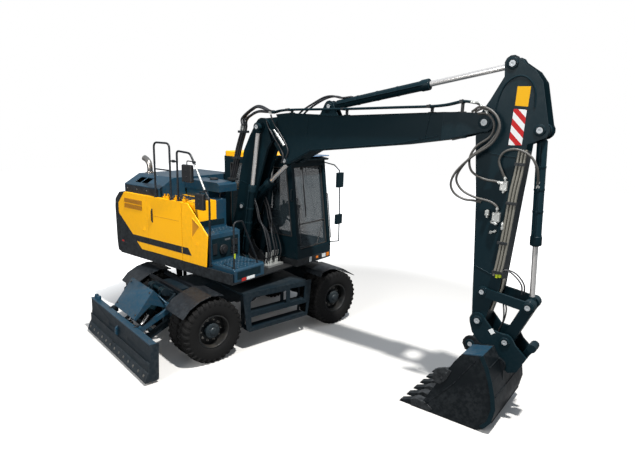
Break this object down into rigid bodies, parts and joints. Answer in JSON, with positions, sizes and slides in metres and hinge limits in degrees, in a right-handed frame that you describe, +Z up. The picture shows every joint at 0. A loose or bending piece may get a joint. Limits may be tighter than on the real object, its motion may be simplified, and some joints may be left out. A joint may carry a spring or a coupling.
{
  "type": "wheeled excavator",
  "caption": "Wheeled excavator with a two-piece boom, arm, linkage bucket on a quick coupler, twin tyres, rear dozer blade, glazed cab and hinged body doors.",
  "frame": {"origin": "point on the ground under the slewing axis", "axes": "+X forward along the boom from the slewing axis, +Y to the operator's left, +Z up; the chassis stands turned 78.6 degrees about +Z"},
  "size_m": [7.635, 4.6507, 4.5676],
  "materials": {
    "yellow_paint": "semi-gloss yellow-orange paint",
    "slate_paint": "semi-gloss dark slate paint",
    "teal_paint": "semi-gloss dark teal paint",
    "charcoal_paint": "satin charcoal paint",
    "tyre_rubber": "dusty black rubber",
    "chrome_rod": "polished rod",
    "cab_glazing": "clear tinted",
    "upholstery": "matt black trim",
    "steel_part": "bare steel"
  },
  "bodies": {
    "chassis": {"chassis_frame": "slate_paint", "slew_ring": "steel_part", "right_step_frame": "slate_paint", "left_step_frame": "slate_paint", "rear_axle": "slate_paint", "rear_fenders": "charcoal_paint", "front_axle": "slate_paint"},
    "rear_right_wheel": {"rear_right_tyres": "tyre_rubber", "rear_right_rim": "slate_paint"},
    "rear_left_wheel": {"rear_left_tyres": "tyre_rubber", "rear_left_rim": "slate_paint"},
    "right_knuckle": {"right_knuckle": "charcoal_paint"},
    "left_knuckle": {"left_knuckle": "charcoal_paint"},
    "front_right_wheel": {"front_right_tyres": "tyre_rubber", "front_right_rim": "slate_paint"},
    "front_left_wheel": {"front_left_tyres": "tyre_rubber", "front_left_rim": "slate_paint"},
    "blade_arms": {"blade_lower_arms": "slate_paint"},
    "blade": {"dozer_blade": "teal_paint"},
    "blade_link": {"blade_upper_link": "teal_paint"},
    "blade_barrels": {"blade_barrels": "slate_paint"},
    "blade_rods": {"blade_rods": "chrome_rod"},
    "upper": {"upper_frame": "charcoal_paint", "counterweight": "charcoal_paint", "right_rear_panel": "yellow_paint", "right_front_panel": "yellow_paint", "left_panel": "yellow_paint", "top_cover": "yellow_paint", "engine_block": "charcoal_paint", "hydraulic_tank": "teal_paint", "fuel_tank": "teal_paint", "side_handrail": "slate_paint", "front_handrail": "slate_paint", "cab_shell": "slate_paint", "cab_glass": "cab_glazing", "cab_interior": "upholstery"},
    "right_door": {"right_door": "yellow_paint"},
    "left_door": {"left_door": "yellow_paint"},
    "engine_hood": {"engine_hood": "teal_paint", "exhaust_pipe": "steel_part"},
    "cab_door": {"cab_door": "slate_paint", "door_glass": "cab_glazing"},
    "lower_boom": {"lower_boom": "slate_paint"},
    "right_lift_barrel": {"right_lift_barrel": "slate_paint"},
    "right_lift_rod": {"right_lift_rod": "chrome_rod"},
    "left_lift_barrel": {"left_lift_barrel": "slate_paint"},
    "left_lift_rod": {"left_lift_rod": "chrome_rod"},
    "upper_boom": {"upper_boom": "slate_paint"},
    "adjust_barrel": {"adjust_barrel": "slate_paint"},
    "adjust_rod": {"adjust_rod": "chrome_rod"},
    "arm": {"arm": "slate_paint"},
    "arm_barrel": {"arm_cylinder_barrel": "slate_paint"},
    "arm_rod": {"arm_cylinder_rod": "chrome_rod"},
    "bucket_barrel": {"bucket_cylinder_barrel": "slate_paint"},
    "bucket_rod": {"bucket_cylinder_rod": "chrome_rod"},
    "bucket_levers": {"bucket_levers": "slate_paint"},
    "h_link": {"h_link": "slate_paint"},
    "bucket": {"quick_coupler": "slate_paint", "bucket": "slate_paint"}
  },
  "joints": [
    {"name": "swing", "type": "hinge", "parent": "chassis", "child": "upper", "pos_m": [0, 0, 1.2], "axis": [0, 0, 1], "continuous": true},
    {"name": "steer_left", "type": "hinge", "parent": "chassis", "child": "left_knuckle", "pos_m": [-0.23318, 1.37318, 0.515], "axis": [0, 0, 1], "range_deg": [-27, 27]},
    {"name": "rear_left_spin", "type": "hinge", "parent": "chassis", "child": "rear_left_wheel", "pos_m": [-1.16861, -1.09053, 0.515], "axis": [-0.9803, 0.1977, 0], "continuous": true},
    {"name": "front_left_spin", "type": "hinge", "parent": "left_knuckle", "child": "front_left_wheel", "pos_m": [-0.6547, 1.45817, 0.515], "axis": [-0.9803, 0.1977, 0], "continuous": true},
    {"name": "steer_right", "type": "hinge", "parent": "chassis", "child": "right_knuckle", "pos_m": [0.74709, 1.17552, 0.515], "axis": [0, 0, 1], "range_deg": [-27, 27]},
    {"name": "rear_right_spin", "type": "hinge", "parent": "chassis", "child": "rear_right_wheel", "pos_m": [0.6547, -1.45817, 0.515], "axis": [-0.9803, 0.1977, 0], "continuous": true},
    {"name": "front_right_spin", "type": "hinge", "parent": "right_knuckle", "child": "front_right_wheel", "pos_m": [1.16861, 1.09053, 0.515], "axis": [-0.9803, 0.1977, 0], "continuous": true},
    {"name": "blade_lift", "type": "hinge", "parent": "chassis", "child": "blade_arms", "pos_m": [-0.33602, -1.66646, 0.53], "axis": [-0.9803, 0.1977, 0], "range_deg": [-12, 35]},
    {"name": "blade_level", "type": "hinge", "parent": "blade_arms", "child": "blade", "pos_m": [-0.43485, -2.1566, 0.3], "axis": [-0.9803, 0.1977, 0], "range_deg": [-35, 12]},
    {"name": "blade_link_turn", "type": "hinge", "parent": "chassis", "child": "blade_link", "pos_m": [-0.33602, -1.66646, 0.81], "axis": [-0.9803, 0.1977, 0], "range_deg": [-12, 35]},
    {"name": "blade_barrels_turn", "type": "hinge", "parent": "chassis", "child": "blade_barrels", "pos_m": [-0.32811, -1.62725, 0.98], "axis": [-0.9803, 0.1977, 0], "range_deg": [-8.93, 25.65]},
    {"name": "blade_rods_slide", "type": "slide", "parent": "blade_barrels", "child": "blade_rods", "axis": [-0.1221, -0.6056, -0.7863], "range_m": [-0.17346, 0.06078]},
    {"name": "boom_lift", "type": "hinge", "parent": "upper", "child": "lower_boom", "pos_m": [0, -0.04, 1.7], "axis": [0, 1, 0], "range_deg": [-8, 40]},
    {"name": "right_lift_turn", "type": "hinge", "parent": "upper", "child": "right_lift_barrel", "pos_m": [0.34, -0.2623, 1.365], "axis": [0, 1, 0], "range_deg": [-7.54, 36.91]},
    {"name": "right_lift_slide", "type": "slide", "parent": "right_lift_barrel", "child": "right_lift_rod", "axis": [0.1429, 0, 0.9897], "range_m": [-0.30519, 0.06264]},
    {"name": "left_lift_turn", "type": "hinge", "parent": "upper", "child": "left_lift_barrel", "pos_m": [0.34, 0.1823, 1.365], "axis": [0, 1, 0], "range_deg": [-7.54, 36.91]},
    {"name": "left_lift_slide", "type": "slide", "parent": "left_lift_barrel", "child": "left_lift_rod", "axis": [0.1429, 0, 0.9897], "range_m": [-0.30519, 0.06264]},
    {"name": "upper_boom_raise", "type": "hinge", "parent": "lower_boom", "child": "upper_boom", "pos_m": [0.67, -0.04, 3.65], "axis": [0, -1, 0], "range_deg": [-24, 12]},
    {"name": "adjust_turn", "type": "hinge", "parent": "lower_boom", "child": "adjust_barrel", "pos_m": [0.19, -0.04, 2.265], "axis": [0, -1, 0], "range_deg": [-0.61, 1.03]},
    {"name": "adjust_slide", "type": "slide", "parent": "adjust_barrel", "child": "adjust_rod", "axis": [0.7595, 0, 0.6505], "range_m": [-0.31012, 0.15606]},
    {"name": "arm_out", "type": "hinge", "parent": "upper_boom", "child": "arm", "pos_m": [4.393, -0.04, 3.801], "axis": [0, -1, 0], "range_deg": [-25, 60]},
    {"name": "arm_barrel_turn", "type": "hinge", "parent": "upper_boom", "child": "arm_barrel", "pos_m": [1.969, -0.04, 3.99], "axis": [0, -1, 0], "range_deg": [-1.42, 3.13]},
    {"name": "arm_rod_slide", "type": "slide", "parent": "arm_barrel", "child": "arm_rod", "axis": [0.984, 0, 0.1784], "range_m": [-0.7102, 0.29708]},
    {"name": "bucket_curl", "type": "hinge", "parent": "arm", "child": "bucket", "pos_m": [4.554, -0.04, 1.291], "axis": [0, 1, 0], "range_deg": [-55, 30]},
    {"name": "bucket_levers_turn", "type": "hinge", "parent": "arm", "child": "bucket_levers", "pos_m": [4.573, -0.04, 1.687], "axis": [0, 1, 0], "range_deg": [-43.5, 23.82]},
    {"name": "h_link_turn", "type": "hinge", "parent": "bucket_levers", "child": "h_link", "pos_m": [5.147, -0.04, 1.611], "axis": [0, 1, 0], "range_deg": [-16.7, 30.46]},
    {"name": "bucket_barrel_turn", "type": "hinge", "parent": "arm", "child": "bucket_barrel", "pos_m": [5.025, -0.04, 3.726], "axis": [0, 1, 0], "range_deg": [-0.63, 0.99]},
    {"name": "bucket_rod_slide", "type": "slide", "parent": "bucket_barrel", "child": "bucket_rod", "axis": [0.0576, 0, -0.9983], "range_m": [-0.42698, 0.23381]},
    {"name": "right_door_turn", "type": "hinge", "parent": "upper", "child": "right_door", "pos_m": [-0.148, -1.245, 1.9], "axis": [0, 0, 1], "range_deg": [0, 110]},
    {"name": "left_door_turn", "type": "hinge", "parent": "upper", "child": "left_door", "pos_m": [-1.395, 1.245, 1.9], "axis": [0, 0, 1], "range_deg": [0, 95]},
    {"name": "cab_door_turn", "type": "hinge", "parent": "upper", "child": "cab_door", "pos_m": [-0.25, 1.245, 2.2], "axis": [0, 0, 1], "range_deg": [0, 110]},
    {"name": "hood_lift", "type": "hinge", "parent": "upper", "child": "engine_hood", "pos_m": [-1.31, 0.6, 2.4103], "axis": [-1, 0, 0], "range_deg": [0, 60]}
  ],
  "couplings": [
    {"joint": "steer_right", "follows": "steer_left", "ratio": 1},
    {"joint": "blade_level", "follows": "blade_lift", "ratio": -1},
    {"joint": "blade_link_turn", "follows": "blade_lift", "ratio": 1},
    {"joint": "blade_barrels_turn", "follows": "blade_lift", "ratio": 0.72715},
    {"joint": "blade_rods_slide", "follows": "blade_lift", "m_per_rad": -0.28068},
    {"joint": "right_lift_turn", "follows": "boom_lift", "ratio": 0.9178},
    {"joint": "right_lift_slide", "follows": "boom_lift", "m_per_rad": -0.43429},
    {"joint": "left_lift_turn", "follows": "boom_lift", "ratio": 0.9178},
    {"joint": "left_lift_slide", "follows": "boom_lift", "m_per_rad": -0.43429},
    {"joint": "adjust_turn", "follows": "upper_boom_raise", "ratio": -0.034459},
    {"joint": "adjust_slide", "follows": "upper_boom_raise", "m_per_rad": 0.73559},
    {"joint": "arm_barrel_turn", "follows": "arm_out", "ratio": 0.048854},
    {"joint": "arm_rod_slide", "follows": "arm_out", "m_per_rad": -0.67628},
    {"joint": "bucket_levers_turn", "follows": "bucket_curl", "ratio": 0.78726},
    {"joint": "h_link_turn", "follows": "bucket_curl", "ratio": -0.55018},
    {"joint": "bucket_barrel_turn", "follows": "bucket_curl", "ratio": -0.014418},
    {"joint": "bucket_rod_slide", "follows": "bucket_curl", "m_per_rad": 0.44272}
  ]
}
